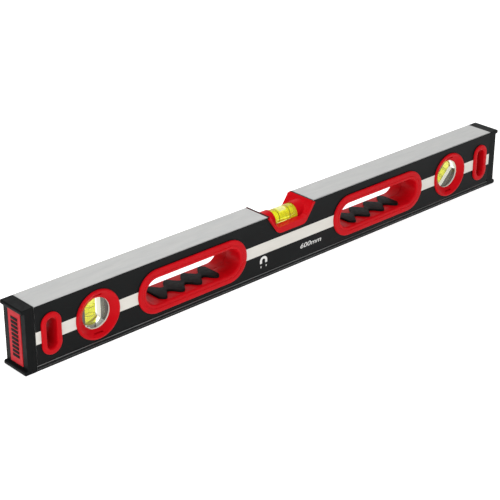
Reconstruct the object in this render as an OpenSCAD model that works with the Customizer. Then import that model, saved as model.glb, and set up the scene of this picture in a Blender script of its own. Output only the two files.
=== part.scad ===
// Box-section spirit level, 600 mm, with two hand holes, a centre level vial,
// a plumb vial and a 45 degree vial.
// X runs along the level, the front face looks along -Y, Z is up.
// The origin is the middle of the base.

/* [Beam] */
// Overall length, from lip to lip of the end caps
overall_len = 600; // [560:1:640]
// Depth of the section, front face to rear face
beam_w = 30; // [28:0.5:32]
// Height of the section
beam_h = 60; // [59:0.5:62]
// Thickness of the front and rear walls
side_wall = 1.8; // [1.4:0.1:2.4]
// Thickness of the top wall
top_wall = 2.5; // [2:0.1:3]
// Thickness of the wall under the level
base_wall = 3; // [2.5:0.1:3.5]
// Height of the underside of the inner web above the base
web_z = 8; // [7.6:0.1:8.4]
// Thickness of the inner web
web_wall = 1.2; // [1:0.1:1.4]
// Bevel along the long edges
beam_bevel = 0.5; // [0.3:0.1:0.8]

/* [Side groove] */
// Lower edge of the groove along the foot of both faces
groove_low = 4.7; // [4.5:0.1:4.9]
// Upper edge of the groove
groove_high = 7.3; // [7.1:0.1:7.5]
// Depth of the groove
groove_depth = 0.7; // [0.4:0.1:0.9]

/* [Stripe] */
// Lower edge of the pale stripe
stripe_low = 24.8; // [24:0.1:26]
// Upper edge of the pale stripe
stripe_high = 36.2; // [35:0.1:37]
// Thickness of the stripe film
stripe_t = 0.2; // [0.1:0.05:0.3]

/* [Row of openings] */
// Height of the middle of the openings in the two faces
row_z = 30.7; // [30:0.1:31]
// How far every flange stands out of its face
flange_t = 1.8; // [1.5:0.1:2]

/* [Hand holes] */
// Distance of each hand hole from the middle
handle_x = 118.8; // [116:0.1:121]
// Straight run between the two round ends
handle_run = 83.6; // [76:0.1:90]
// Radius of the round ends inside the tunnel
handle_r = 12.5; // [12:0.1:13]
// Wall of the tunnel
handle_wall = 2.4; // [2:0.1:2.8]
// Outer radius of the flange's round ends
handle_flange_r = 20.85; // [20:0.05:21]

/* [Grip pads] */
// Number of lobes along a pad
pad_lobes = 4; // [3:1:4]
// Pitch of the lobes
pad_pitch = 20.1; // [18:0.1:21]
// Distance from the middle of an outer lobe to the pad's straight end
pad_end = 4.8; // [4:0.1:7]
// Half depth of a pad at the tip of a lobe
pad_tip = 13.4; // [12:0.1:14]
// Half depth of a pad in a notch
pad_notch = 3.8; // [3.4:0.1:8]
// Thickness of a pad
pad_t = 1.9; // [1.4:0.1:2.4]

/* [Hang slots] */
// Distance of each hang slot from the middle
slot_x = 272.1; // [272:0.1:274]
// Straight run between the slot's round ends
slot_run = 18.5; // [16:0.1:20]
// Radius of the slot's round ends
slot_r = 5; // [4.5:0.1:5.2]
// Wall of the slot's sleeve
slot_wall = 1.8; // [1.4:0.1:2]
// Outer radius of the slot's flange
slot_flange_r = 10; // [9.5:0.1:10.2]

/* [Round vials] */
// Distance of the two round vials from the middle
vial_x = 224.25; // [222:0.05:226]
// Radius of the window in the ring
window_r = 14.2; // [13:0.1:14.4]
// Outer radius of the ring's flange
ring_flange_r = 22.9; // [22.8:0.1:23.4]
// Outer radius of the ring's tube, inside the beam
ring_tube_r = 20; // [19.6:0.1:20.2]
// Radius of the clear vial block's rounded ends
puck_r = 15; // [14.8:0.1:15.2]
// Half width of the block between its flat sides, which run along the bore
puck_side = 10.2; // [9:0.1:11]
// Half thickness of the block, front to rear
puck_half = 10.6; // [10:0.1:11]
// Radius of the bore in the block
bore_r = 4.7; // [4.4:0.1:5]
// Length of the bore in the block
bore_len = 24.4; // [23:0.1:25]
// Tilt of the diagonal vial from upright
diagonal_tilt = 45; // [40:1:50]

/* [Centre vial] */
// Radius of the rounded top of the clear block
block_r = 9; // [8.8:0.05:9.3]
// Height of the middle of the rounded top
block_z = 47.4; // [47.2:0.1:47.8]
// Length of the clear block
block_len = 44; // [42:0.5:46]
// Radius of the bore along the block
level_bore_r = 5.7; // [5.3:0.1:5.8]
// Height of the bore's axis
level_bore_z = 50; // [49.9:0.1:50.2]

/* [Bubbles] */
// Radius of the bubble in a round vial
bubble_r = 3.2; // [2.8:0.1:3.4]
// Length of the bubble in a round vial
bubble_len = 7; // [6.8:0.1:8]
// Radius of the centre bubble
level_bubble_r = 2.7; // [2.4:0.1:2.8]
// Length of the centre bubble
level_bubble_len = 11.6; // [9:0.1:12]
// Travel of the centre bubble to each side
level_travel = 12; // [8:0.5:12]

/* [End caps] */
// Length of each cap that covers the beam's end, without its lips
cap_len = 9.3; // [8:0.1:11]
// How far the lips stand out of the end face
lip_len = 3.2; // [2:0.1:4]
// Height of each lip
lip_h = 4; // [3:0.1:4.5]
// Width of the coloured insert
insert_w = 17.2; // [15:0.1:20]
// Height of the coloured insert
insert_h = 49; // [44:0.5:50]

/* [Centre housing] */
// Half width of the flange at the top of the beam
housing_top = 31; // [30.6:0.1:32]
// Half width of the flange at its lower edge, before rounding
housing_bottom = 17.4; // [17:0.1:18]
// Height of the flange's lower edge
housing_low = 40.5; // [40:0.1:41]
// Radius of the flange's lower corners
housing_corner = 7; // [5:0.5:8]
// Outer radius of the hood over each end of the clear block
hood_r = 10.1; // [9.9:0.1:10.6]
// Distance from the housing's middle to the open end of each hood
hood_x = 14.2; // [12.6:0.1:15]
// Width of the seam between the housing and the edges of the beam's notch
seam = 0.6; // [0.2:0.1:0.8]

/* [Magnets] */
// Number of magnets in the base
magnet_count = 5; // [3:2:5]
// Spacing of the magnets
magnet_pitch = 118.8; // [100:0.1:120]
// Radius of a magnet
magnet_r = 6; // [5:0.5:7]

/* [Hidden] */

$fn = 96;
through = 1;             // how far a cutter runs past a face
fit = 0.1;               // clearance between parts that stay put
gap = 0.05;              // clearance between faces that meet
bubble_gap = 0.2;        // clearance between a bubble and its fluid
arc_step = 15;           // degrees between the points of a drawn arc
face_y = beam_w / 2;
flange_y = face_y + flange_t;
beam_len = overall_len - 2 * (cap_len + lip_len);
cavity_y = face_y - side_wall;
cavity_top = beam_h - top_wall;
cavity_low = web_z + web_wall;
pocket_depth = 1.2;      // depth of the insert's pocket in a cap
insert_proud = 0.3;      // how far the insert stands out of its pocket
plug_len = 6.5;          // how far a cap's plug enters the beam
cap_inset = 0.15;        // how far a cap stays inside the beam's top and base
lap = 3;                 // overlap of the two halves of a tunnel
plug_t = 1.8;            // thickness of a bore's plug
line_w = 0.9;            // width of a mark on a bore
line_t = 0.3;            // thickness of a mark on a bore
line_x = 3.9;            // distance of a round vial's marks from its middle
level_line_x = 6.7;      // distance of the centre vial's marks from its middle
flange_drop = 1.4;       // distance of the housing's flanges below the beam's top
ledge_z = 46.5;          // height of the housing's ledge in front of the block
block_low = 43.9;        // underside of the clear block
notch_top = 29.6;        // half width of the beam's notch at the top
notch_bottom = 17.2;     // half width of the notch at its floor, before rounding
notch_low = 42.6;        // floor of the notch
notch_corner = 5;        // radius of the notch's lower corners
bubble_rest = bore_len / 2 - bubble_len / 2 - 0.6;
bubble_travel = 2 * bubble_rest;
level_bubble_z = level_bore_z + level_bore_r - 0.4 - level_bubble_r;
scoop = [[15.4, ledge_z], [19.3, 48], [22, 51.5], [24.6, 55], [28, beam_h + through]];

black = [0.13, 0.135, 0.14];
red = [0.8, 0.1, 0.13];
acrylic = [0.9, 0.95, 0.92, 0.4];
fluid = [0.8, 0.88, 0.05, 0.8];

// ---- outlines ----

// Points of an arc about c, from angle a to angle b
function arc(c, r, a, b) = let(n = max(1, ceil(abs(b - a) / arc_step)))
    [for (i = [0:n]) let(t = a + (b - a) * i / n) c + r * [cos(t), sin(t)]];

// Half outline of a tapered notch with rounded lower corners, up to height top_z
function half_notch(top, bottom, low, r, top_z) = let(
        slope = atan2(beam_h - low, top - bottom),
        reach = r * tan(slope / 2),
        high = top + (top_z - beam_h) / tan(slope))
    concat(arc([bottom - reach, low + r], r, -90, slope - 90), [[high, top_z]]);

function mirrored(half) = concat(half, [for (i = [len(half) - 1:-1:0]) [-half[i][0], half[i][1]]]);

module notch_shape(top, bottom, low, r, top_z) polygon(mirrored(half_notch(top, bottom, low, r, top_z)));

module stadium(run, r) {
    square([run, 2 * r], center = true);
    for (s = [-1, 1]) translate([s * run / 2, 0]) circle(r);
}

// ---- placing ----

// On the row of openings in the faces
module at_row(x) translate([x, 0, row_z]) children();

// Drawing plane upright, facing the front: x stays, y becomes height, z comes out of the front
module facing_front() rotate([90, 0, 0]) children();

// The same for the rear half of a pair
module facing_rear() mirror([0, 1, 0]) facing_front() children();

// A straight bar of a drawn shape through both faces
module across(half = 40) facing_front() linear_extrude(2 * half, center = true) children();

// Along the level, with the drawing's x as Y and its y as Z
module along(length) rotate([90, 0, 90]) linear_extrude(length, center = true) children();

// Sweeps a profile round a slot: x is the distance from its middle line, y the distance outwards
module sweep_round(run) {
    if (run == 0) rotate_extrude() children();
    else {
        for (s = [-1, 1]) translate([s * run / 2, 0, 0]) rotate([0, 0, -90 * s])
            rotate_extrude(angle = 180) children();
        for (turn = [0, 180]) rotate([0, 0, turn]) along(run) children();
    }
}

// ---- beam ----

module beam_section() {
    difference() {
        polygon(mirrored([[face_y - beam_bevel, 0], [face_y, beam_bevel],
            [face_y, groove_low], [face_y - groove_depth, groove_low + groove_depth / 2],
            [face_y - groove_depth, groove_high - groove_depth / 2], [face_y, groove_high],
            [face_y, beam_h - beam_bevel], [face_y - beam_bevel, beam_h]]));
        translate([-cavity_y, cavity_low]) square([2 * cavity_y, cavity_top - cavity_low]);
        translate([-cavity_y, base_wall]) square([2 * cavity_y, web_z - base_wall]);
    }
}

module at_magnets() {
    for (i = [0:magnet_count - 1])
        translate([(i - (magnet_count - 1) / 2) * magnet_pitch, 0, 0]) children();
}

module beam() {
    color(black) difference() {
        along(beam_len) beam_section();
        for (s = [-1, 1]) {
            translate([s * handle_x, 0, row_z]) across() stadium(handle_run, handle_r + handle_wall + fit);
            translate([s * vial_x, 0, row_z]) across() circle(ring_tube_r + fit);
            translate([s * slot_x, 0, row_z]) across()
                rotate(90) stadium(slot_run, slot_r + slot_wall + fit);
        }
        across() notch_shape(notch_top, notch_bottom, notch_low, notch_corner, beam_h + through);
        at_magnets() translate([0, 0, -through])
            cylinder(r = magnet_r + fit, h = base_wall + 2 * through);
    }
}

module base_magnets() {
    color([0.7, 0.7, 0.72]) at_magnets() translate([0, 0, fit])
        cylinder(r = magnet_r, h = web_z - gap - fit);
}

// ---- stripes ----

module stripe() {
    color([0.87, 0.86, 0.8]) facing_front() translate([0, 0, face_y]) linear_extrude(stripe_t)
        difference() {
            translate([-beam_len / 2 + fit, stripe_low])
                square([beam_len - 2 * fit, stripe_high - stripe_low]);
            for (s = [-1, 1]) {
                translate([s * handle_x, row_z]) stadium(handle_run, handle_flange_r + fit);
                translate([s * vial_x, row_z]) circle(ring_flange_r + fit);
                translate([s * slot_x, row_z]) rotate(90) stadium(slot_run, slot_flange_r + fit);
            }
        }
}

// ---- end caps ----

module end_cap_right() {
    end_x = beam_len / 2;
    low = cap_inset;
    high = beam_h - cap_inset;
    bevel = 0.8;
    tip_x = end_x + cap_len + lip_len;
    color([0.12, 0.125, 0.13]) difference() {
        union() {
            facing_front() linear_extrude(2 * (face_y - gap), center = true)
                polygon([[end_x + gap, low], [tip_x - bevel, low], [tip_x, low + bevel],
                    [tip_x, low + lip_h - bevel], [tip_x - bevel, low + lip_h],
                    [end_x + cap_len, low + lip_h], [end_x + cap_len, high - lip_h],
                    [tip_x - bevel, high - lip_h], [tip_x, high - lip_h + bevel],
                    [tip_x, high - 1.5 * bevel], [tip_x - bevel, high], [end_x + gap, high]]);
            translate([end_x - plug_len, -(cavity_y - fit), cavity_low + fit])
                cube([plug_len + bevel, 2 * (cavity_y - fit), cavity_top - cavity_low - 2 * fit]);
        }
        translate([end_x - plug_len - through, -(cavity_y - 2), cavity_low + 2])
            cube([plug_len + through, 2 * (cavity_y - 2), cavity_top - cavity_low - 4]);
        translate([end_x + cap_len - pocket_depth, -insert_w / 2 - fit, (beam_h - insert_h) / 2 - fit])
            cube([pocket_depth + through, insert_w + 2 * fit, insert_h + 2 * fit]);
    }
}

module cap_insert_right() {
    color([0.88, 0.25, 0.29])
        translate([beam_len / 2 + cap_len - pocket_depth + gap, -insert_w / 2, (beam_h - insert_h) / 2])
            cube([pocket_depth + insert_proud, insert_w, insert_h]);
}

// ---- sleeves of the hand holes and hang slots ----

// Profile of one half of a sleeve: tunnel wall, lapped where the halves meet, and rounded flange
module sleeve_profile(r, wall, flange_r, tongue) {
    tube_r = r + wall;
    mid_r = r + wall / 2;
    round_r = 1.2;
    inner_end = tongue ? -lap : lap + gap;
    polygon(concat(
        [[r, inner_end]],
        arc([r + round_r, flange_y - round_r], round_r, 180, 90),
        arc([flange_r - round_r, flange_y - round_r], round_r, 90, 0),
        [[flange_r, face_y + gap], [tube_r, face_y + gap]],
        tongue
            ? [[tube_r, gap], [mid_r - gap, gap], [mid_r - gap, inner_end]]
            : [[tube_r, gap], [mid_r + gap, gap], [mid_r + gap, inner_end]]));
}

module sleeve(run, r, wall, flange_r, tongue)
    color(red) sweep_round(run) sleeve_profile(r, wall, flange_r, tongue);

module handle_half(tongue) sleeve(handle_run, handle_r, handle_wall, handle_flange_r, tongue);

module slot_half(tongue)
    rotate([0, 0, 90]) sleeve(slot_run, slot_r, slot_wall, slot_flange_r, tongue);

// The pad's half depth swells from each notch to the tip of a lobe as a cosine does
module grip_pad() {
    first = -(pad_lobes - 1) * pad_pitch / 2;
    half_len = pad_end - first;
    steps = 8 * pad_lobes;
    fullness = 0.9;
    depth = function(x) pad_notch + (pad_tip - pad_notch)
        * pow((1 + cos(360 * (x - first) / pad_pitch)) / 2, fullness);
    edge = [for (i = [0:steps]) let(x = half_len * (2 * i / steps - 1)) [x, depth(x)]];
    color([0.12, 0.15, 0.15]) translate([0, 0, row_z - handle_r + gap]) linear_extrude(pad_t)
        polygon(concat(edge, [for (i = [len(edge) - 1:-1:0]) [edge[i][0], -edge[i][1]]]));
}

// ---- round vials ----

module ring_half() {
    seat_y = puck_half + fit;
    rim = 1.6;
    key_w = 9;
    key_r = 17.6;
    key_deep = 1.4;
    color(red) difference() {
        rotate_extrude() polygon(concat(
            [[puck_r + fit, gap], [puck_r + fit, seat_y], [window_r, seat_y], [window_r, seat_y + rim]],
            [[ring_flange_r - 1.9, flange_y]],
            arc([ring_flange_r - 0.9, flange_y - 0.9], 0.9, 90, 0),
            [[ring_flange_r, face_y + gap], [ring_tube_r, face_y + gap], [ring_tube_r, gap]]));
        for (s = [-1, 1]) translate([-key_w / 2, s * key_r - key_deep / 2, face_y - 1.4])
            cube([key_w, key_deep, 2 * flange_t]);
    }
}

module puck(tilt) {
    color(acrylic) difference() {
        facing_front() linear_extrude(2 * puck_half, center = true) rotate(-tilt) intersection() {
            circle(puck_r);
            square([2 * puck_side, 2 * puck_r], center = true);
        }
        rotate([0, tilt, 0]) translate([0, 0, -puck_r - through])
            cylinder(r = bore_r, h = puck_r + through + bore_len / 2);
    }
}

// Half of the pair of packings that fill the ring beside the block's flat sides
module seat(tilt) {
    color([0.5, 0.5, 0.48]) facing_front() translate([0, 0, gap]) linear_extrude(puck_half - gap)
        rotate(-tilt) for (s = [-1, 1]) intersection() {
            circle(puck_r);
            translate([s * (puck_side + fit + puck_r / 2), 0]) square([puck_r, 2 * puck_r], center = true);
        }
}

// Solid of a bubble along its bore, at most long enough to fill its path
module capsule(r, length) {
    half = length / 2 - r;
    rotate_extrude() polygon(concat(
        arc([0, -half], r, -90, 0), arc([0, half], r, 0, 90)));
}

module bore_marks(r, offset, grow) {
    for (s = [-1, 1]) translate([0, 0, s * offset]) difference() {
        cylinder(r = r + grow, h = line_w + 2 * grow, center = true);
        cylinder(r = r - line_t - grow, h = line_w + 2, center = true);
    }
}

module vial_fluid(tilt) {
    color(fluid) rotate([0, tilt, 0]) difference() {
        cylinder(r = bore_r - gap, h = bore_len - 2 * gap, center = true);
        capsule(bubble_r + bubble_gap, bubble_len + bubble_travel + 2 * bubble_gap);
        bore_marks(bore_r - gap, line_x, gap);
    }
}

module vial_bubble(tilt)
    color([1, 1, 1, 0.5]) rotate([0, tilt, 0]) translate([0, 0, bubble_rest])
        capsule(bubble_r, bubble_len);

module vial_lines(tilt) color("black") rotate([0, tilt, 0]) bore_marks(bore_r - gap, line_x, 0);

module vial_plug(tilt)
    color([0.93, 0.93, 0.88]) rotate([0, tilt, 0]) translate([0, 0, -bore_len / 2 - gap - plug_t])
        cylinder(r = bore_r - gap, h = plug_t);

// ---- centre vial ----

module block_shape(r, low) {
    intersection() {
        translate([0, block_z]) circle(r);
        translate([-r, block_z]) square([2 * r, r]);
    }
    translate([-r, low]) square([2 * r, block_z - low]);
}

module centre_housing() {
    color(red) difference() {
        union() {
            difference() {
                union() {
                    across(face_y + 2 * gap) notch_shape(notch_top - seam, notch_bottom - seam,
                        notch_low + fit, notch_corner, beam_h);
                    for (s = [-1, 1]) translate([0, s * (flange_y + face_y + gap) / 2, 0])
                        across((flange_t - gap) / 2) notch_shape(housing_top, housing_bottom,
                            housing_low, housing_corner, beam_h - flange_drop);
                }
                across() polygon(mirrored(scoop));
            }
            for (s = [-1, 1]) translate([s * (hood_x + scoop[4][0]) / 2, 0, 0])
                along(scoop[4][0] - hood_x) block_shape(hood_r, ledge_z - through);
        }
        along(block_len + 2 * fit) block_shape(block_r + fit, block_low - fit);
    }
}

module centre_vial_body() {
    color(acrylic) difference() {
        along(block_len) block_shape(block_r, block_low);
        translate([-block_len / 2 - through, 0, level_bore_z]) rotate([0, 90, 0])
            cylinder(r = level_bore_r, h = block_len + through - plug_t);
    }
}

level_fluid_len = block_len - 2 * plug_t - 2 * gap;

module level_axis() translate([0, 0, level_bore_z]) rotate([0, 90, 0]) children();

module centre_fluid() {
    color(fluid) difference() {
        level_axis() cylinder(r = level_bore_r - gap, h = level_fluid_len, center = true);
        translate([0, 0, level_bubble_z]) rotate([0, 90, 0])
            capsule(level_bubble_r + bubble_gap, level_bubble_len + 2 * (level_travel + bubble_gap));
        level_axis() bore_marks(level_bore_r - gap, level_line_x, gap);
    }
}

module centre_bubble()
    color([1, 1, 1, 0.5]) translate([0, 0, level_bubble_z]) rotate([0, 90, 0])
        capsule(level_bubble_r, level_bubble_len);

module centre_lines() color("black") level_axis() bore_marks(level_bore_r - gap, level_line_x, 0);

module centre_plug()
    color([0.93, 0.93, 0.88]) translate([-(block_len - plug_t) / 2, 0, level_bore_z]) rotate([0, 90, 0])
        cylinder(r = level_bore_r - gap, h = plug_t, center = true);

// ---- assembly ----

beam();
stripe();  // front_stripe
mirror([0, 1, 0]) stripe();  // rear_stripe

mirror([1, 0, 0]) end_cap_right();  // left_end_cap
end_cap_right();  // right_end_cap
mirror([1, 0, 0]) cap_insert_right();  // left_cap_insert
cap_insert_right();  // right_cap_insert

at_row(-handle_x) facing_front() handle_half(true);  // left_handle_front
at_row(-handle_x) facing_rear() handle_half(false);  // left_handle_rear
translate([-handle_x, 0, 0]) grip_pad();  // left_grip_pad
at_row(handle_x) facing_front() handle_half(true);  // right_handle_front
at_row(handle_x) facing_rear() handle_half(false);  // right_handle_rear
translate([handle_x, 0, 0]) grip_pad();  // right_grip_pad

at_row(-slot_x) facing_front() slot_half(true);  // left_slot_front
at_row(-slot_x) facing_rear() slot_half(false);  // left_slot_rear
at_row(slot_x) facing_front() slot_half(true);  // right_slot_front
at_row(slot_x) facing_rear() slot_half(false);  // right_slot_rear

at_row(-vial_x) facing_front() ring_half();  // plumb_front_ring
at_row(-vial_x) facing_rear() ring_half();  // plumb_rear_ring
at_row(-vial_x) seat(0);  // plumb_front_seat
at_row(-vial_x) mirror([0, 1, 0]) seat(0);  // plumb_rear_seat
at_row(-vial_x) puck(0);  // plumb_vial_body
at_row(-vial_x) vial_fluid(0);  // plumb_fluid
at_row(-vial_x) vial_bubble(0);  // plumb_bubble
at_row(-vial_x) vial_lines(0);  // plumb_lines
at_row(-vial_x) vial_plug(0);  // plumb_plug

at_row(vial_x) facing_front() ring_half();  // diagonal_front_ring
at_row(vial_x) facing_rear() ring_half();  // diagonal_rear_ring
at_row(vial_x) seat(diagonal_tilt);  // diagonal_front_seat
at_row(vial_x) mirror([0, 1, 0]) seat(diagonal_tilt);  // diagonal_rear_seat
at_row(vial_x) puck(diagonal_tilt);  // diagonal_vial_body
at_row(vial_x) vial_fluid(diagonal_tilt);  // diagonal_fluid
at_row(vial_x) vial_bubble(diagonal_tilt);  // diagonal_bubble
at_row(vial_x) vial_lines(diagonal_tilt);  // diagonal_lines
at_row(vial_x) vial_plug(diagonal_tilt);  // diagonal_plug

centre_housing();
centre_vial_body();
centre_fluid();
centre_bubble();
centre_lines();
centre_plug();

base_magnets();
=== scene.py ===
"""A 600 mm box-section spirit level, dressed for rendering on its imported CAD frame.

Lengths are in mm and become metres in build(). The frame is the CAD's: X along the level,
front face towards -Y, Z up, origin in the middle of the base.
"""

import math

import bmesh
import bpy
from mathutils import Matrix, Vector


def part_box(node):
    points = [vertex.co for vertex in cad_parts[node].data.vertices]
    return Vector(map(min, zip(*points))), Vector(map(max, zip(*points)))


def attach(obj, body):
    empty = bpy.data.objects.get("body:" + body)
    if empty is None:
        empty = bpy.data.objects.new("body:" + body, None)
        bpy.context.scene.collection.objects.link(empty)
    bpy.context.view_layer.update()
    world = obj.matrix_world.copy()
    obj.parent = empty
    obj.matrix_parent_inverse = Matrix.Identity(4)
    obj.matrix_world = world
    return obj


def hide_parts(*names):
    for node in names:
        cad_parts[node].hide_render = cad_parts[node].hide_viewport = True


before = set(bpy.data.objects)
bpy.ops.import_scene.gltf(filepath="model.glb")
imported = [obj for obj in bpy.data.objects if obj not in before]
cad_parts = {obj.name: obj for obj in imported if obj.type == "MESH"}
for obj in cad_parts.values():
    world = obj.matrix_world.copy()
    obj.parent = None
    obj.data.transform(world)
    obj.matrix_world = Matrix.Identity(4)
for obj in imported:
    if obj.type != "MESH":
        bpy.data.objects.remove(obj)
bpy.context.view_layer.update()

MM = 0.001
BODY = "level"
FRONT, REAR = -1, 1


def span(node):
    """Lowest and highest corner of a CAD node, in mm."""
    low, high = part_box(node)
    return Vector(low) / MM, Vector(high) / MM


def middle(node):
    low, high = span(node)
    return (low + high) / 2


# ---- materials ----


class Nodes:
    """A material's node tree, with short calls that add to it."""

    def __init__(self, name):
        self.material = bpy.data.materials.new(name)
        self.material.use_nodes = True
        self.tree = self.material.node_tree
        self.tree.nodes.clear()
        self.place = self.add("TexCoord").outputs["Object"]

    def add(self, kind, inputs=(), **settings):
        node = self.tree.nodes.new("ShaderNode" + kind)
        for key, value in settings.items():
            setattr(node, key, value)
        for key, value in dict(inputs).items():
            if isinstance(value, bpy.types.NodeSocket):
                self.tree.links.new(value, node.inputs[key])
            else:
                node.inputs[key].default_value = value
        return node

    def noise(self, size, along=1.0, detail=3.0, rough=0.55):
        """Noise with features of that size in mm, drawn out along X by a factor."""
        s = 1 / (size * MM)
        place = self.add("Mapping", {"Vector": self.place, "Scale": (s / along, s, s)})
        return self.add(
            "TexNoise",
            {"Vector": place.outputs[0], "Scale": 1.0, "Detail": detail, "Roughness": rough},
        ).outputs[0]

    def spread(self, value, low, high, start=0.3, end=0.7):
        """A value that runs from start to end, mapped to run from low to high."""
        return self.add(
            "MapRange",
            {"Value": value, "From Min": start, "From Max": end, "To Min": low, "To Max": high},
        ).outputs[0]

    def blend(self, factor, a, b):
        """A mix of two colours, which are inputs 6 and 7 of the Mix node and its output 2."""
        node = self.add("Mix", data_type="RGBA")
        for slot, value in ((0, factor), (6, a), (7, b)):
            if isinstance(value, bpy.types.NodeSocket):
                self.tree.links.new(value, node.inputs[slot])
            else:
                node.inputs[slot].default_value = value
        return node.outputs[2]

    def bump(self, height, depth, below=None):
        """Relief of that depth in mm, on top of the relief below."""
        inputs = {"Height": height, "Distance": depth * MM, "Strength": 1.0}
        if below is not None:
            inputs["Normal"] = below
        return self.add("Bump", inputs).outputs[0]

    def close(self, shader):
        """Ends the material with its shader."""
        self.add("OutputMaterial", {"Surface": shader.outputs[0]})
        return self.material


SCUFF_WIDTH, SCUFF_AREA = 0.35, 26.0    # of one scuff, and of the areas that have them


def rgb(r, g, b):
    return (r, g, b, 1.0)


def solid_finish(name, dark, light, rough, bumps, metal=0.0, specular=0.5, patch=18.0,
                 along=1.0, scuff=None, glow=0.0):
    """An opaque finish: two tones in soft patches, uneven roughness, fine relief and scuffs.

    Each of bumps is (size, depth, stretch) with sizes in mm; scuff is (colour, how much,
    stretch); patch is the size of the soft patches, drawn out along X by along."""
    n = Nodes(name)
    colour = n.blend(n.spread(n.noise(patch, along), 0.0, 1.0), rgb(*dark), rgb(*light))
    roughness = n.spread(n.noise(patch * 0.4, along), rough[0], rough[1])
    if scuff:
        tint, amount, stretch = scuff
        marks = n.noise(SCUFF_WIDTH, stretch, 2.0)
        where = n.noise(SCUFF_AREA, 1.5, 2.0)
        mask = n.add("Math", {0: n.spread(marks, 0.0, 1.0, 0.62, 0.72),
                              1: n.spread(where, 0.0, amount, 0.4, 0.65)}, operation="MULTIPLY")
        colour = n.blend(mask.outputs[0], colour, rgb(*tint))
    normal = None
    for size, depth, stretch in bumps:
        normal = n.bump(n.noise(size, stretch, 2.0), depth, normal)
    shader = n.add("BsdfPrincipled", {
        "Base Color": colour, "Roughness": roughness, "Metallic": metal,
        "Specular IOR Level": specular, "Emission Color": rgb(*light),
        "Emission Strength": glow})
    if normal is not None:
        n.tree.links.new(normal, shader.inputs["Normal"])
    return n.close(shader)


def clear_finish(name, tint, ior):
    """A clear material with a slightly uneven tint and gloss."""
    n = Nodes(name)
    colour = n.blend(n.spread(n.noise(9.0), 0.0, 1.0), rgb(*tint), rgb(*(c * 0.985 for c in tint)))
    shader = n.add("BsdfGlass", {"Color": colour, "IOR": ior,
                                 "Roughness": n.spread(n.noise(4.0), 0.0, 0.012)})
    return n.close(shader)


def painted_glow_finish(name, dark, light, clear, glow, strength, rough):
    """A partly clear body that scatters light, with a weak painted glow that keeps it bright under
    any lamp.
    """
    n = Nodes(name)
    colour = n.blend(n.spread(n.noise(3.0), 0.0, 1.0), rgb(*dark), rgb(*light))
    shader = n.add("BsdfPrincipled", {
        "Base Color": colour, "Roughness": n.spread(n.noise(2.0), rough, rough + 0.05),
        "IOR": 1.01, "Specular IOR Level": 0.1, "Transmission Weight": clear,
        "Emission Color": rgb(*glow), "Emission Strength": strength})
    return n.close(shader)


COAT = solid_finish(
    "satin_black_coat", (0.0028, 0.0034, 0.0036), (0.0046, 0.0055, 0.0057), (0.32, 0.44),
    [(0.5, 0.006, 1.0), (0.25, 0.004, 60.0)], specular=0.07, patch=30.0, along=3.0,
    scuff=((0.045, 0.048, 0.05), 0.3, 40.0))
MILLED = solid_finish(
    "milled_aluminium", (0.495, 0.50, 0.495), (0.54, 0.54, 0.53), (0.40, 0.46),
    [(0.22, 0.005, 90.0), (0.5, 0.004, 6.0)], metal=1.0, patch=6.0, along=5.0,
    scuff=((0.38, 0.38, 0.37), 0.5, 50.0))
BARE = solid_finish(
    "bare_aluminium", (0.36, 0.36, 0.36), (0.46, 0.46, 0.455), (0.45, 0.6),
    [(0.3, 0.008, 50.0)], metal=1.0, patch=9.0, along=6.0)
# A paler, partly metallic coat. It is worn coat on the foot line, and a painted highlight on the
# groove's upward faces.
WEAR_AND_HIGHLIGHT_COAT = solid_finish(
    "coat_worn_and_painted_highlight", (0.13, 0.135, 0.135), (0.26, 0.265, 0.26), (0.3, 0.45),
    [(0.3, 0.006, 20.0)], metal=0.4, patch=5.0, along=12.0)
FILM = solid_finish(
    "pale_film", (0.64, 0.625, 0.575), (0.71, 0.695, 0.64), (0.32, 0.44),
    [(0.9, 0.004, 1.0)], specular=0.2, patch=22.0, along=3.0,
    scuff=((0.45, 0.44, 0.40), 0.3, 20.0))
CAP = solid_finish(
    "moulded_black", (0.0026, 0.0032, 0.0033), (0.0042, 0.0050, 0.0052), (0.38, 0.52),
    [(0.35, 0.01, 1.0)], specular=0.06, patch=12.0, scuff=((0.03, 0.03, 0.032), 0.2, 3.0))
INSERT = solid_finish(
    "insert_red", (0.40, 0.007, 0.013), (0.46, 0.011, 0.018), (0.32, 0.42),
    [(0.4, 0.006, 1.0)], specular=0.1, patch=10.0)
RED = solid_finish(
    "moulded_red", (0.47, 0.0018, 0.0056), (0.54, 0.0028, 0.0080), (0.28, 0.38),
    [(0.45, 0.004, 1.0), (7.0, 0.04, 1.0)], specular=0.06, patch=16.0,
    scuff=((0.52, 0.008, 0.016), 0.25, 8.0))
# Painted highlight: a pale finish for the window's inner wall, standing in for light caught on the
# rim.
RIM_HIGHLIGHT_PAINT = solid_finish(
    "window_rim_painted_highlight", (0.78, 0.77, 0.72), (0.86, 0.85, 0.80), (0.25, 0.35),
    [(0.4, 0.006, 1.0)], specular=0.3, patch=3.0)
GRIP = solid_finish(
    "grip_rubber", (0.0026, 0.0044, 0.0042), (0.0050, 0.0078, 0.0074), (0.42, 0.58),
    [(0.4, 0.03, 1.0), (3.0, 0.08, 1.0)], specular=0.09, patch=6.0)
ACRYLIC_IOR = 1.49
CLEAR = clear_finish("clear_acrylic", (0.97, 0.985, 0.965), ACRYLIC_IOR)
TINTED = clear_finish("tinted_acrylic", (0.96, 0.99, 0.74), ACRYLIC_IOR)
# The fluids' glow is painted light. It stands in for the bright look of their fluorescent dye.
FLUID = painted_glow_finish("yellow_fluid", (0.53, 0.58, 0.025), (0.70, 0.64, 0.02), 0.84,
                       (0.64, 0.62, 0.02), 0.10, 0.04)
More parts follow.
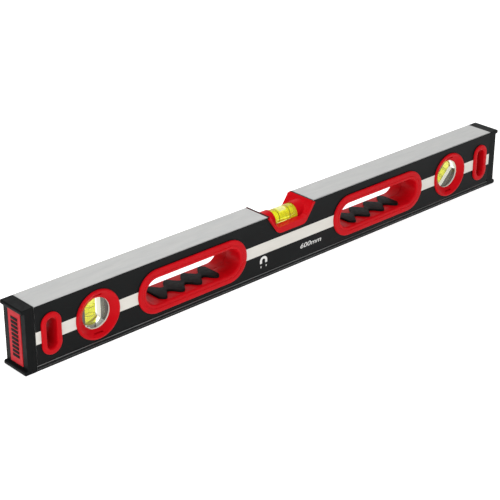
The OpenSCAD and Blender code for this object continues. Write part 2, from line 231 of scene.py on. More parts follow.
# Painted light: the centre vial's fluid is a lighter copy of the same fluid, with a stronger
# painted glow.
LEVEL_FLUID = painted_glow_finish("level_fluid", (0.70, 0.74, 0.04), (0.86, 0.80, 0.04), 0.80,
                             (0.78, 0.70, 0.05), 0.27, 0.04)
# The bubble's glow is painted light, which makes the gas look bright.
GAS = painted_glow_finish("bubble_gas", (0.80, 0.81, 0.74), (0.88, 0.88, 0.82), 0.4,
                     (1.0, 0.97, 0.97), 0.22, 0.05)
# The round vials' bubbles have a stronger painted glow, which is painted light.
SUNK_GAS = painted_glow_finish("sunk_bubble_gas", (0.90, 0.91, 0.84), (0.95, 0.95, 0.90), 0.3,
                          (1.0, 1.0, 0.9), 0.5, 0.05)
MARK = solid_finish(
    "printed_mark", (0.01, 0.01, 0.009), (0.018, 0.017, 0.014), (0.45, 0.6),
    [(0.3, 0.004, 1.0)], patch=2.0)
PLUG = solid_finish(
    "vial_plug", (0.70, 0.70, 0.60), (0.78, 0.78, 0.68), (0.25, 0.35),
    [(0.5, 0.006, 1.0)], patch=3.0)
GREY_SEAT = solid_finish(
    "grey_seat", (0.075, 0.068, 0.056), (0.12, 0.108, 0.09), (0.35, 0.45),
    [(0.4, 0.006, 1.0)], patch=4.0)
# The white seat glows a little. This is painted light, so it shows bright through the puck under
# any lamp.
WHITE_SEAT = solid_finish(
    "white_seat", (0.86, 0.86, 0.83), (0.93, 0.93, 0.90), (0.3, 0.4),
    [(0.4, 0.006, 1.0)], patch=4.0, glow=0.4)
NICKEL = solid_finish(
    "magnet_nickel", (0.50, 0.49, 0.47), (0.60, 0.59, 0.57), (0.22, 0.36),
    [(0.3, 0.006, 1.0)], metal=1.0, patch=5.0, scuff=((0.3, 0.3, 0.29), 0.4, 6.0))
INK = solid_finish(
    "white_print", (0.66, 0.66, 0.64), (0.78, 0.78, 0.76), (0.4, 0.5),
    [(0.5, 0.004, 1.0)], patch=3.0)


# ---- mesh building ----

# Edges sharper than these, in degrees, stay edges: on CAD and carved shapes, on built ones, and
# on bubbles.
SHARP, CREASED, ROUND = 30.0, 32.0, 60.0


def build(name, vertices, faces, finish, slot, stands_for=(), body=BODY, angle=CREASED):
    """A piece from vertices in mm, shaded smooth but for edges sharper than angle."""
    mesh = bpy.data.meshes.new(name)
    mesh.from_pydata([Vector(v) * MM for v in vertices], [], faces)
    bm = bmesh.new()
    bm.from_mesh(mesh)
    bmesh.ops.recalc_face_normals(bm, faces=bm.faces)
    bm.to_mesh(mesh)
    bm.free()
    return dress(name, mesh, finish, stands_for, body, angle)


def dress(name, mesh, finish, stands_for=(), body=BODY, angle=CREASED):
    """A piece from a mesh in metres, with its finish or finishes, body and CAD nodes."""
    for each in finish if isinstance(finish, (list, tuple)) else [finish]:
        mesh.materials.append(each)
    mesh.shade_smooth()
    mesh.set_sharp_from_angle(angle=math.radians(angle))
    piece = bpy.data.objects.new(name, mesh)
    bpy.context.scene.collection.objects.link(piece)
    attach(piece, body)
    if stands_for:
        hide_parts(*stands_for)
    return piece


def fillet(corners, steps=5):
    """A closed outline of (x, y, radius) corners, each rounded to its radius, or to what fits
    in just under half of the shorter side."""
    outline = []
    for i, (x, y, radius) in enumerate(corners):
        here = Vector((x, y))
        before = Vector(corners[i - 1][:2]) - here
        after = Vector(corners[(i + 1) % len(corners)][:2]) - here
        if radius <= 0:
            outline.append(here)
            continue
        half = before.angle(after) / 2
        reach = min(radius / math.tan(half), 0.49 * before.length, 0.49 * after.length)
        radius = reach * math.tan(half)
        centre = here + (before.normalized() + after.normalized()).normalized() * (
            radius / math.sin(half))
        start = here + before.normalized() * reach - centre
        end = here + after.normalized() * reach - centre
        a = math.atan2(start.y, start.x)
        turn = (math.atan2(end.y, end.x) - a + math.pi) % (2 * math.pi) - math.pi
        outline += [centre + radius * Vector((math.cos(a + turn * k / steps),
                                              math.sin(a + turn * k / steps)))
                    for k in range(steps + 1)]
    return outline


def stadium(run, upright=False, steps=40, cuts=1):
    """Points of a slot's middle line, each with its outward direction, going round."""
    path = []
    for s in (1, -1):
        for k in range(steps + 1):
            t = math.radians((-90 if s > 0 else 90) + 180 * k / steps)
            path.append((s * run / 2, 0.0, math.cos(t), math.sin(t)))
        path += [(s * run * (0.5 - k / cuts), 0.0, 0.0, float(s)) for k in range(1, cuts)]
    if upright:
        path = [(-z, x, -nz, nx) for x, z, nx, nz in path]
    return path


def ring_path(steps=96):
    """The same for a circle, whose middle line is a point."""
    turns = [2 * math.pi * k / steps for k in range(steps)]
    return [(0.0, 0.0, math.cos(t), math.sin(t)) for t in turns]


def sweep(outline, path, centre, side):
    """Vertices and faces of a closed outline (distance out, height off the middle plane) swept
    round a path in the front plane; side is FRONT or REAR."""
    count = len(outline)
    vertices = [
        (centre.x + x + nx * p[0], centre.y + side * p[1], centre.z + z + nz * p[0])
        for x, z, nx, nz in path for p in outline]
    faces = []
    for i in range(len(path)):
        j = (i + 1) % len(path)
        faces += [(i * count + k, i * count + (k + 1) % count,
                   j * count + (k + 1) % count, j * count + k) for k in range(count)]
    return vertices, faces


def along_axis(direction, centre):
    """A frame with its z along direction."""
    turn = Vector(direction).to_track_quat("Z", "Y").to_matrix().to_4x4()
    return Matrix.Translation(centre) @ turn


def revolve(profile, place, steps=64):
    """A solid of revolution of (radius, height) points, from axis to axis."""
    vertices, rings = [], []
    for radius, height in profile:
        count = 1 if radius < 1e-6 else steps
        rings.append(range(len(vertices), len(vertices) + count))
        for k in range(count):
            t = 2 * math.pi * k / steps
            vertices.append(place @ Vector((radius * math.cos(t), radius * math.sin(t), height)))
    faces = []
    for a, b in zip(rings, rings[1:]):
        for k in range(steps):
            j = (k + 1) % steps
            quad = [a[k % len(a)], a[j % len(a)], b[j % len(b)], b[k % len(b)]]
            face = [v for i, v in enumerate(quad) if v not in quad[:i]]
            if len(face) > 2:
                faces.append(face)
    return vertices, faces


def prism(outline, low, high, place, round_low=0.0, round_high=0.0, steps=4):
    """An outline extruded from low to high, with its rims rounded."""
    count = len(outline)
    outward = []
    for i, p in enumerate(outline):
        edge = (outline[(i + 1) % count] - outline[i - 1]).normalized()
        outward.append(Vector((edge.y, -edge.x)))
    area = sum(p.cross(outline[(i + 1) % count]) for i, p in enumerate(outline))
    if area < 0:
        outward = [-o for o in outward]
    levels = []
    for at, radius, sign in ((low, round_low, 1), (high, round_high, -1)):
        rim = [(radius * (1 - math.sin(math.pi / 2 * k / steps)),
                at + sign * radius * (1 - math.cos(math.pi / 2 * k / steps)))
               for k in range(steps + 1)] if radius > 0 else [(0.0, at)]
        levels += rim if sign > 0 else rim[::-1]
    vertices = [place @ Vector((*(p - o * inset), height))
                for inset, height in levels for p, o in zip(outline, outward)]
    faces = [tuple(range(count))[::-1],
             tuple(range((len(levels) - 1) * count, len(levels) * count))]
    for i in range(len(levels) - 1):
        faces += [(i * count + k, i * count + (k + 1) % count,
                   (i + 1) * count + (k + 1) % count, (i + 1) * count + k)
                  for k in range(count)]
    return vertices, faces


def refined(name, node, finish, width, pick=None, segments=3, heights=()):
    """A CAD node's own shape with its flat faces joined up and its edges rounded to width. Its
    faces are split at the heights, so that pick, which says a face's finish, can colour a band."""
    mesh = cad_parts[node].data.copy()
    mesh.materials.clear()
    bm = bmesh.new()
    bm.from_mesh(mesh)
    bmesh.ops.remove_doubles(bm, verts=bm.verts, dist=1e-6)
    bmesh.ops.dissolve_limit(bm, angle_limit=math.radians(0.4), verts=bm.verts, edges=bm.edges)
    for height in heights:
        bmesh.ops.bisect_plane(bm, geom=[*bm.verts, *bm.edges, *bm.faces], dist=1e-7,
                               plane_co=(0, 0, height * MM), plane_no=(0, 0, 1))
    for face in bm.faces:
        face.material_index = pick(face) if pick else 0
    bm.to_mesh(mesh)
    bm.free()
    piece = dress(name, mesh, finish, (node,), angle=SHARP)
    bevel = piece.modifiers.new("rounded_edges", "BEVEL")
    bevel.width, bevel.segments = width * MM, segments
    bevel.limit_method, bevel.angle_limit = "ANGLE", math.radians(SHARP)
    bevel.harden_normals = True
    return piece


def carve(piece, boxes):
    """Cuts boxes, (low, high) in mm, out of a piece."""
    cutters = []
    for low, high in boxes:
        bm = bmesh.new()
        bmesh.ops.create_cube(bm, size=1.0)
        low, high = Vector(low), Vector(high)
        for v in bm.verts:
            v.co = Vector(((low[k] + high[k]) / 2 + v.co[k] * (high[k] - low[k])) * MM
                          for k in range(3))
        mesh = bpy.data.meshes.new("cutter")
        bm.to_mesh(mesh)
        bm.free()
        cutter = bpy.data.objects.new("cutter", mesh)
        bpy.context.scene.collection.objects.link(cutter)
        cut = piece.modifiers.new("cut", "BOOLEAN")
        cut.object, cut.solver, cut.operation = cutter, "EXACT", "DIFFERENCE"
        cutters.append(cutter)
    ready = piece.evaluated_get(bpy.context.evaluated_depsgraph_get())
    made = bpy.data.meshes.new_from_object(ready)
    piece.modifiers.clear()
    piece.data = made
    made.shade_smooth()
    made.set_sharp_from_angle(angle=math.radians(SHARP))
    for cutter in cutters:
        bpy.data.objects.remove(cutter)


def pill(radius, length, soft, steps=6):
    """Profile of a closed rod with rounded rims, about its own middle."""
    rim = [(radius - soft + soft * math.cos(math.pi / 2 * (1 - k / steps)),
            -length / 2 + soft - soft * math.sin(math.pi / 2 * (1 - k / steps)))
           for k in range(steps + 1)]
    lower = [(0.0, -length / 2), *rim]
    return lower + [(r, -h) for r, h in lower[::-1]]


def band(place, inner, outer, low, high, steps=64):
    """A ring of square section with softened edges, round the axis of place."""
    outline = fillet([(inner, low, 0.06), (outer, low, 0.06), (outer, high, 0.06),
                      (inner, high, 0.06)], 2)
    count = len(outline)
    vertices = [place @ Vector((p.x * math.cos(t), p.x * math.sin(t), p.y))
                for t in (2 * math.pi * k / steps for k in range(steps)) for p in outline]
    faces = [(i * count + k, i * count + (k + 1) % count,
              (i + 1) % steps * count + (k + 1) % count, (i + 1) % steps * count + k)
             for i in range(steps) for k in range(count)]
    return vertices, faces


def merged(*parts):
    """The vertices and faces of several shapes as those of one."""
    vertices, faces = [], []
    for v, f in parts:
        faces += [tuple(i + len(vertices) for i in face) for face in f]
        vertices += v
    return vertices, faces


# ---- beam, stripes and caps ----

beam_low, beam_high = span("beam")
FACE_LIFT = 0.05            # a flange's underside lies this far off the beam's face
face_y = beam_high.y + FACE_LIFT
GROOVE_TOP = 9.0            # just above the groove along the foot
FOOT_LINE = (2.05, 2.27)    # the rubbed line between the groove and the base
BEAM_FINISHES = [COAT, MILLED, BARE, WEAR_AND_HIGHLIGHT_COAT]
BLACK, BRIGHT, INSIDE, WEAR_AND_HIGHLIGHT = range(4)    # places in that list


def beam_face(face):
    """Which of BEAM_FINISHES a face of the beam has."""
    at = face.calc_center_median() / MM
    depth = beam_high.y - abs(at.y)
    # Upward-facing faces in the groove take the paler coat as a painted highlight. The foot line
    # is worn coat.
    on_groove = at.z < GROOVE_TOP and depth < 1.0 and face.normal.z > 0.3
    on_line = FOOT_LINE[0] < at.z < FOOT_LINE[1] and depth < 0.1
    if on_groove or on_line:
        return WEAR_AND_HIGHLIGHT
    if abs(face.normal.z) > 0.6 and (at.z > beam_high.z - 0.3 or at.z < beam_low.z + 0.3):
        return BRIGHT
    return BLACK if abs(face.normal.y) > 0.2 and depth < 0.8 else INSIDE


refined("beam_extrusion", "beam", BEAM_FINISHES, 0.12, beam_face,
        heights=FOOT_LINE)
for side in ("front", "rear"):
    refined(f"{side}_stripe_film", f"{side}_stripe", FILM, 0.04)
for side in ("left", "right"):
    refined(f"{side}_end_cap_moulding", f"{side}_end_cap", CAP, 0.45)
    refined(f"{side}_cap_badge", f"{side}_cap_insert", INSERT, 0.3)

# ---- hand holes and hang slots ----

# run is the straight length between an opening's round ends, mouth their radius, soft the
# rounding of the mouth and edge that of the flange.
HAND_HOLE = {"run": 83.6, "upright": False, "mouth": 12.5, "wall": 2.4, "soft": 2.2,
             "edge": 1.7, "creased": True}
HANG_SLOT = {"run": 18.5, "upright": True, "mouth": 5.0, "wall": 1.8, "soft": 1.2,
             "edge": 1.4, "creased": False}
LAP, LAP_GAP = 3.0, 0.12         # the tongue's reach past the middle, and the gap at its end
FIT = 0.05                       # gap on each side of a joint between two halves
LIP_RUN, LIP_DROP = 2.4, 0.25    # the flange slopes down over its last stretch
CREASE_AT, CREASE_HALF, CREASE_DEPTH = 3.5, 0.4, 0.35


def half_sleeve(name, node, tongue, run, upright, mouth, wall, soft, edge, creased):
    """Half of an opening's lining: a flange, and a wall that laps the other half's."""
    low, high = span(node)
    centre = middle(node)
    centre.y = 0.0
    top = max(abs(low.y), abs(high.y))
    out = (high.x - low.x if upright else high.z - low.z) / 2
    end = -LAP if tongue else LAP + LAP_GAP
    step = mouth + wall / 2 + (-FIT if tongue else FIT)
    crease = [(mouth + CREASE_AT - CREASE_HALF, top, 0.1),
              (mouth + CREASE_AT, top - CREASE_DEPTH, 0.1),
              (mouth + CREASE_AT + CREASE_HALF, top, 0.1)]
    outline = fillet([
        (mouth, end, 0.3), (mouth, top, soft), *(crease if creased else []),
        (out - LIP_RUN, top, 0.0), (out, top - LIP_DROP, edge), (out, face_y, 0.15),
        (mouth + wall, face_y, 0.2), (mouth + wall, FIT, 0.2), (step, FIT, 0.2),
        (step, end, 0.25)])
    build(name, *sweep(outline, stadium(run, upright, cuts=8), centre, FRONT if tongue else REAR),
          RED, "red_plastic", (node,))


PAD_PITCH, PAD_NOTCH = 20.1, 3.8    # of the four lobes, and half the width between two of them
PAD_SHAPE, PAD_RIM = 0.9, 0.9       # exponent of a lobe's cosine, and the top rim's rounding


def grip(side, steps=88):
    """A scalloped pad on the floor of a hand hole."""
    low, high = span(f"{side}_grip_pad")
    first_lobe = (low.x + high.x) / 2 - 1.5 * PAD_PITCH
    edge = []
    for k in range(steps + 1):
        x = low.x + (high.x - low.x) * k / steps
        swell = (1 + math.cos(2 * math.pi * (x - first_lobe) / PAD_PITCH)) / 2
        edge.append(Vector((x, PAD_NOTCH + (high.y - PAD_NOTCH) * swell ** PAD_SHAPE)))
    outline = edge + [Vector((p.x, -p.y)) for p in edge[::-1]]
    build(f"{side}_grip", *prism(outline, low.z, high.z, Matrix(), 0.0, PAD_RIM),
          GRIP, "grip_rubber", (f"{side}_grip_pad",))


for side in ("left", "right"):
    for half in ("front", "rear"):
        tongue = half == "front"
        half_sleeve(f"{side}_handle_{half}_frame", f"{side}_handle_{half}", tongue, **HAND_HOLE)
        half_sleeve(f"{side}_slot_{half}_sleeve", f"{side}_slot_{half}", tongue, **HANG_SLOT)
    grip(side)

# ---- parts of every vial ----

MARK_GAP = 0.06    # between a bore and a mark
PLUG_FIT = 0.2     # a plug is this much smaller than its bore


def marks(kind, node, place, bore, out, at, half):
    """Two dark rings as far as out beyond a bore, centred at and -at from its middle."""
    pair = merged(*(band(place, bore + MARK_GAP, bore + out, s * at - half, s * at + half)
                    for s in (-1, 1)))
    build(f"{kind}_vial_marks", *pair, MARK, "black_marks", (node,))


def stopper(kind, place, bore, length):
    """The plug that closes a bore."""
    build(f"{kind}_vial_stopper", *revolve(pill(bore - PLUG_FIT, length, 0.25), place), PLUG,
          "vial_plug", (f"{kind}_plug",))


# ---- round vials ----

PUCK_R, FLAT = 15.0, 10.2    # of a vial's body, and how far out its two flats are
PUCK_FLAT, SEAT_FLAT, SEAT_R = FLAT + 0.15, FLAT + 0.08, PUCK_R - 0.02    # overlap at the flats
SEAT_BACK = 0.06             # a packing stops this far off the middle plane
BORE, BORE_LEN = 4.7, 24.4
MARK_AT, MARK_HALF, MARK_OUT = 3.9, 0.2, 0.2
PLUG_LEN, PLUG_GAP = 1.7, 0.1
BUBBLE = (3.6, 7.0, 3.1, 10)    # radius, length, rounding and its steps
RING_IN, RING_OUT, RING_BACK = 15.1, 20.0, 0.1    # radii of a ring's barrel, and its inner end
WINDOW_R, LEDGE, FUNNEL = 14.2, 10.7, 12.3    # the radius of the window's painted highlight, and its two ends
CREST_IN, CREST_OUT, CREST_DROP = 2.3, 0.4, 0.1    # the highest band, in from the ring's edge
KEYWAY = Vector((4.5, 0.7))    # half the size of a slot in the ring's face
KEYWAY_AT, KEYWAY_FLOOR, KEYWAY_OPEN = 17.6, 13.6, 20.0


def facing(side, centre):
    """A frame on the level's middle plane: x along the level, y up, z out of a face."""
    return Matrix.Translation((centre.x, 0, centre.z)) @ Matrix(
        ((1, 0, 0, 0), (0, 0, side, 0), (0, 1, 0, 0), (0, 0, 0, 1)))


def arc(half_angle, steps=16):
    """Angles from -half_angle to half_angle."""
    return [half_angle * (k / steps - 1) for k in range(2 * steps + 1)]


def window_ring(kind, half, side, centre):
    """A red ring with a funnel to a window whose inner wall is painted pale as a highlight, and a
    slot above and below it.
    """
    node = f"{kind}_{half}_ring"
    low, high = span(node)
    out, top = (high.x - low.x) / 2, max(abs(low.y), abs(high.y))
    outline = fillet([
        (RING_IN, RING_BACK, 0.1), (RING_IN, LEDGE, 0.0), (WINDOW_R, LEDGE, 0.15),
        (WINDOW_R, FUNNEL, 0.35), (out - CREST_IN, top - CREST_DROP, 0.7),
        (out - CREST_OUT, top, 1.0), (out, face_y, 0.15), (RING_OUT, face_y, 0.2),
        (RING_OUT, RING_BACK, 0.1)])
    shape = sweep(outline, ring_path(), Vector((centre.x, 0, centre.z)), side)
    ring = build(f"{node}_moulding", *shape, [RED, RIM_HIGHLIGHT_PAINT], "red_plastic", (node,))
    # The window's inner wall takes the pale painted highlight.
    for face in ring.data.polygons:
        at = face.center / MM
        off_centre = math.hypot(at.x - centre.x, at.z - centre.z)
        face.material_index = int(off_centre < WINDOW_R + 0.1 and abs(face.normal.y) < 0.5)
    near, far = sorted((side * KEYWAY_FLOOR, side * KEYWAY_OPEN))
    carve(ring, [((centre.x - KEYWAY.x, near, centre.z + s * KEYWAY_AT - KEYWAY.y),
                  (centre.x + KEYWAY.x, far, centre.z + s * KEYWAY_AT + KEYWAY.y))
                 for s in (-1, 1)])


def packing(kind, half, side, centre, tilt):
    """The fillers between the puck's two flats and the ring, on one side of the middle."""
    node = f"{kind}_{half}_seat"
    low, high = span(node)
    front = max(abs(low.y), abs(high.y))
    lumps = []
    for s in (-1, 1):
        outline = [tilt @ Vector((s * SEAT_R * math.cos(t), SEAT_R * math.sin(t)))
                   for t in arc(math.acos(SEAT_FLAT / PUCK_R))]
        lumps.append(prism(outline, SEAT_BACK, front, facing(side, centre), 0.0, 0.3))
    finish, slot = (GREY_SEAT, "seat_grey") if side == FRONT else (WHITE_SEAT, "seat_white")
    build(f"{kind}_{half}_packing", *merged(*lumps), finish, slot, (node,))


def round_vial(kind, degrees, bubble_body):
    """A puck with its bore leaning degrees to the right, between a front and a rear ring."""
    centre = middle(f"{kind}_vial_body")
    lean = math.radians(degrees)
    axis = Vector((math.sin(lean), 0.0, math.cos(lean)))
    tilt = Matrix.Rotation(-lean, 2)
    for half, side in (("front", FRONT), ("rear", REAR)):
        window_ring(kind, half, side, centre)
        packing(kind, half, side, centre, tilt)
    low, high = span(f"{kind}_vial_body")
    upper = [PUCK_R * Vector((math.sin(t), math.cos(t)))
             for t in arc(math.asin(PUCK_FLAT / PUCK_R))]
    outline = [tilt @ p for p in upper + [-p for p in upper]]
    build(f"{kind}_vial_puck", *prism(outline, low.y, high.y, facing(FRONT, centre), 0.5, 0.5),
          CLEAR, "clear_acrylic", (f"{kind}_vial_body",))
    place = along_axis(axis, centre)
    build(f"{kind}_vial_fluid", *revolve(pill(BORE, BORE_LEN, 1.2), place), FLUID,
          "yellow_fluid", (f"{kind}_fluid",))
    marks(kind, f"{kind}_lines", place, BORE, MARK_OUT, MARK_AT, MARK_HALF)
    plug_at = -axis * (BORE_LEN / 2 + PLUG_LEN / 2 + PLUG_GAP)
    stopper(kind, Matrix.Translation(plug_at) @ place, BORE, PLUG_LEN)
    bubble = revolve(pill(*BUBBLE), along_axis(axis, middle(f"{kind}_bubble")))
    build(f"{kind}_gas_bubble", *bubble, SUNK_GAS, "bubble_gas", (f"{kind}_bubble",),
          bubble_body, ROUND)


round_vial("plumb", 0.0, "upright_bubble")
round_vial("diagonal", 45.0, "sloping_bubble")

# ---- centre vial ----

LEVEL_MARK_AT, LEVEL_MARK_HALF, LEVEL_MARK_OUT = 6.7, 0.3, 0.22
LEVEL_PLUG_LEN = 1.5
LEVEL_BUBBLE = (2.6, 11.6, 2.5, 10)    # radius, length, rounding and its steps
BUBBLE_WIDE, BUBBLE_RISE = 1.5, 0.9    # it is widened and raised, against the bore's top
POKE = 0.03                            # and stands out of the fluid by this much


def vial_block(low, high):
    """The clear block: a flat base, upright sides and a round top."""
    radius = high.y
    shoulder = high.z - radius
    top = [(radius * math.cos(t), shoulder + radius * math.sin(t), 0.0)
           for t in (math.pi * k / 48 for k in range(49))]
    outline = fillet(top + [(-radius, low.z, 0.4), (radius, low.z, 0.4)])
    half_length = (high.x - low.x) / 2
    across = Matrix(((0, 0, 1, (low.x + high.x) / 2), (1, 0, 0, 0), (0, 1, 0, 0), (0, 0, 0, 1)))
    build("centre_vial_block", *prism(outline, -half_length, half_length, across, 0.4, 0.4),
          TINTED, "clear_acrylic", ("centre_vial_body",))


def level_bubble(bore, bore_z):
    """A bubble that lies along the top of the bore, no further out than the bore's wall."""
    place = along_axis((1, 0, 0), middle("centre_bubble"))
    gas, faces = revolve(pill(*LEVEL_BUBBLE), place, 96)
    for v in gas:
        v.y, v.z = v.y * BUBBLE_WIDE, v.z + BUBBLE_RISE
        out = math.hypot(v.y, v.z - bore_z)
        if out > bore + POKE:
            pull = (bore + POKE) / out
            v.y, v.z = v.y * pull, bore_z + (v.z - bore_z) * pull
    build("centre_gas_bubble", gas, faces, GAS, "bubble_gas", ("centre_bubble",),
          "level_bubble", ROUND)


low, high = span("centre_vial_body")
vial_block(low, high)
fluid_low, fluid_high = span("centre_fluid")
level_bore, bore_z = (fluid_high.z - fluid_low.z) / 2, (fluid_high.z + fluid_low.z) / 2
level_place = along_axis((1, 0, 0), Vector(((low.x + high.x) / 2, 0, bore_z)))
rod = pill(level_bore, fluid_high.x - fluid_low.x, 1.0)
build("centre_vial_fluid", *revolve(rod, level_place), LEVEL_FLUID, "yellow_fluid",
      ("centre_fluid",))
marks("centre", "centre_lines", level_place, level_bore, LEVEL_MARK_OUT, LEVEL_MARK_AT,
      LEVEL_MARK_HALF)
stopper("centre", along_axis((1, 0, 0), middle("centre_plug")), level_bore, LEVEL_PLUG_LEN)
level_bubble(level_bore, bore_z)


def housing_face(face):
    """1 is painted shade: a dark band along the top of each side wall, for the shadow in the seam
    against the beam.
    """
    return int(face.normal.z > 0.9 and face.calc_center_median().z / MM > beam_high.z - 0.3)


# Narrows the housing a little, so that a seam shows at each end of the notch.
NOTCH_SEAM = Matrix.Diagonal((0.99, 1.0, 1.0, 1.0))
# The housing's wall tops take the black finish as painted shade in the seam.
housing = refined("centre_housing_moulding", "centre_housing", [RED, CAP], 0.5,
                  housing_face, segments=4)
housing.data.transform(NOTCH_SEAM)

# ---- printed marks and ribs ----

RIBS, RIB_PITCH = 10, 3.8
RIB_HALF, RIB_ROUND, RIB_RISE, RIB_SUNK = Vector((4.6, 1.3)), 0.4, 0.4, 0.02
PRINT = 0.05                      # thickness of the ink
INK_SUNK = 0.01                   # the back of the ink lies this far inside the coat
ARCH_OUT, ARCH_IN = Vector((4.6, 4.2)), Vector((1.9, 1.8))    # half axes of the horseshoe's arch
LEG, TIP, TIP_HALF = -2.6, Vector((3.25, -5.9)), Vector((0.5, 0.9))
SYMBOL_AT = (-34.3, 0, 18.4)
MARKING_AT, MARKING_SIZE, MARKING_WIDE = (12.2, 15.0), 6.6, 1.4
MARKING_SHEAR, MARKING_STROKE = 0.2, 0.03


def rectangle(centre, half):
    """Corners of a rectangle of that half size, going round."""
    return [(centre[0] + a * half.x, centre[1] + b * half.y)
            for a, b in ((-1, -1), (1, -1), (1, 1), (-1, 1))]


def plate(outline, thickness, place):
    """A thin raised shape with a softened rim."""
    return prism([Vector(p) for p in outline], 0.0, thickness, place, 0.0, thickness * 0.4)


def cap_ribs(side, s):
    """Ribs across an end cap's red insert."""
    low, high = span(f"{side}_cap_insert")
    out = low.x if s < 0 else high.x
    place = Matrix(((0, 0, s, out - s * RIB_SUNK), (1, 0, 0, 0),
                    (0, 1, 0, (low.z + high.z) / 2), (0, 0, 0, 1)))
    ribs = []
    for k in range(RIBS):
        corners = rectangle((0.0, RIB_PITCH * (k - (RIBS - 1) / 2)), RIB_HALF)
        ribs.append(plate(fillet([(*p, RIB_ROUND) for p in corners]), RIB_RISE, place))
    build(f"{side}_cap_ribs", *merged(*ribs), CAP, "black_plastic")


def magnet_symbol():
    """A horseshoe magnet: an arch with two legs, and a tip below each."""
    arch = [(math.cos(t), math.sin(t)) for t in (math.pi * k / 24 for k in range(25))]
    horseshoe = [(ARCH_OUT.x * c, ARCH_OUT.y * v) for c, v in arch]
    horseshoe += [(-ARCH_OUT.x, LEG), (-ARCH_IN.x, LEG)]
    horseshoe += [(-ARCH_IN.x * c, ARCH_IN.y * v) for c, v in arch]
    horseshoe += [(ARCH_IN.x, LEG), (ARCH_OUT.x, LEG)]
    tips = [rectangle((s * TIP.x, TIP.y), TIP_HALF) for s in (-1, 1)]
    on_face = Matrix(((1, 0, 0, 0), (0, 0, -1, beam_low.y + INK_SUNK), (0, 1, 0, 0),
                      (0, 0, 0, 1)))
    place = Matrix.Translation(SYMBOL_AT) @ on_face
    build("magnet_symbol", *merged(*(plate(shape, PRINT, place) for shape in (horseshoe, *tips))),
          INK, "pale_film")


def size_marking():
    """The level's length, printed on the front face."""
    words = bpy.data.curves.new("size_marking", "FONT")
    words.body, words.size, words.shear = "600mm", MARKING_SIZE * MM, MARKING_SHEAR
    words.extrude, words.offset = PRINT * MM / 2, MARKING_STROKE * MM
    holder = bpy.data.objects.new("size_holder", words)
    bpy.context.scene.collection.objects.link(holder)
    ready = holder.evaluated_get(bpy.context.evaluated_depsgraph_get())
    letters = bpy.data.meshes.new_from_object(ready)
    x, z = MARKING_AT
    y = beam_low.y - PRINT / 2 + INK_SUNK
    letters.transform(Matrix.Translation((x * MM, y * MM, z * MM))
                      @ Matrix.Rotation(math.pi / 2, 4, "X")
                      @ Matrix.Diagonal((MARKING_WIDE, 1.0, 1.0, 1.0)))
    bpy.data.objects.remove(holder)
    dress("size_marking", letters, INK)


cap_ribs("left", -1)
cap_ribs("right", 1)
magnet_symbol()
size_marking()

# ---- base magnets ----

MAGNETS = 5
magnet_low, magnet_high = span("base_magnets")
magnet_r = (magnet_high.y - magnet_low.y) / 2
pitch = (magnet_high.x - magnet_low.x - 2 * magnet_r) / (MAGNETS - 1)
disc = pill(magnet_r, magnet_high.z - magnet_low.z, 0.35)
magnet_z = (magnet_low.z + magnet_high.z) / 2
discs = [revolve(disc, Matrix.Translation(((i - (MAGNETS - 1) / 2) * pitch, 0, magnet_z)))
         for i in range(MAGNETS)]
build("base_magnet_discs", *merged(*discs), NICKEL, "magnet_nickel", ("base_magnets",))

# ---- floor, light and camera, in metres ----


def paper_floor():
    """A wide pale sheet just under the level."""
    bm = bmesh.new()
    bmesh.ops.create_grid(bm, x_segments=1, y_segments=1, size=4.0)
    mesh = bpy.data.meshes.new("floor")
    bm.to_mesh(mesh)
    bm.free()
    sheet = bpy.data.objects.new("floor", mesh)
    sheet.location.z = -0.0001
    bpy.context.scene.collection.objects.link(sheet)
    n = Nodes("floor_paper")
    mesh.materials.append(n.close(n.add("BsdfPrincipled", {
        "Base Color": rgb(0.93, 0.93, 0.93), "Roughness": 0.9, "Specular IOR Level": 0.1,
        "Emission Color": rgb(1.0, 1.0, 1.0), "Emission Strength": 0.5})))
    return sheet


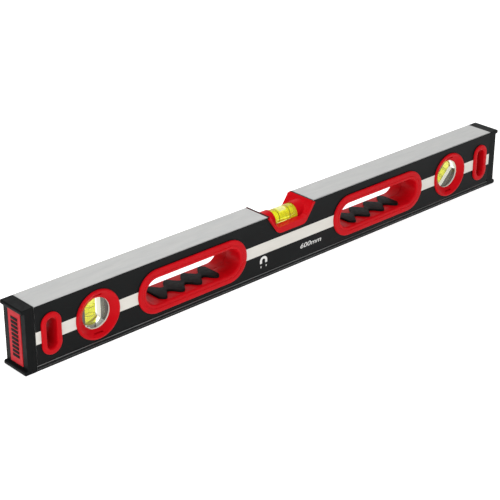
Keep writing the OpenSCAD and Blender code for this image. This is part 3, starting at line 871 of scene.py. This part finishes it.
def soft_light(name, place, target, size, power):
    lamp = bpy.data.lights.new(name, "AREA")
    lamp.shape, lamp.size, lamp.size_y, lamp.energy = "RECTANGLE", size[0], size[1], power
    made = bpy.data.objects.new(name, lamp)
    made.location = place
    made.rotation_euler = (Vector(target) - Vector(place)).to_track_quat("-Z", "Y").to_euler()
    bpy.context.scene.collection.objects.link(made)


floor = paper_floor()

world = bpy.data.worlds.new("studio")
world.use_nodes = True
sky = world.node_tree.nodes["Background"]
sky.inputs["Color"].default_value = rgb(1.0, 1.0, 1.0)
sky.inputs["Strength"].default_value = 0.3
bpy.context.scene.world = world

soft_light("overhead", (-0.3, 0.0, 1.6), (-0.1, 0, 0), (3.0, 2.6), 36.0)
soft_light("left", (-1.7, -0.4, 0.95), (-0.3, 0, 0.03), (1.8, 1.6), 14.0)
soft_light("behind", (1.25, 1.35, 0.95), (-0.2, 0, 0.05), (1.8, 1.2), 6.0)

AZIMUTH, ELEVATION, ROLL = -42.89, 25.48, 0.16       # of the view, in degrees
BACK, ASIDE, ABOVE = 1.42295, -0.02736, 0.01137      # of the camera, in its own directions
SENSOR, LENS = 36.0, 108.94                          # in mm


def view_directions():
    """The camera's right, up and back."""
    azimuth, elevation, roll = (math.radians(v) for v in (AZIMUTH, ELEVATION, ROLL))
    back = Vector((math.sin(azimuth) * math.cos(elevation),
                   -math.cos(azimuth) * math.cos(elevation), math.sin(elevation)))
    level = Vector((math.cos(azimuth), math.sin(azimuth), 0.0))
    plumb = back.cross(level)
    return (math.cos(roll) * level + math.sin(roll) * plumb,
            math.cos(roll) * plumb - math.sin(roll) * level, back)


right, up, back = view_directions()
camera = bpy.data.objects.new("camera", bpy.data.cameras.new("camera"))
camera.data.sensor_width, camera.data.lens = SENSOR, LENS
camera.data.clip_start, camera.data.clip_end = 0.05, 20.0
camera.matrix_world = (Matrix.Translation(back * BACK + right * ASIDE + up * ABOVE)
                       @ Matrix((right, up, back)).transposed().to_4x4())
bpy.context.scene.collection.objects.link(camera)
bpy.context.scene.camera = camera
bpy.context.scene.view_settings.view_transform = "Standard"
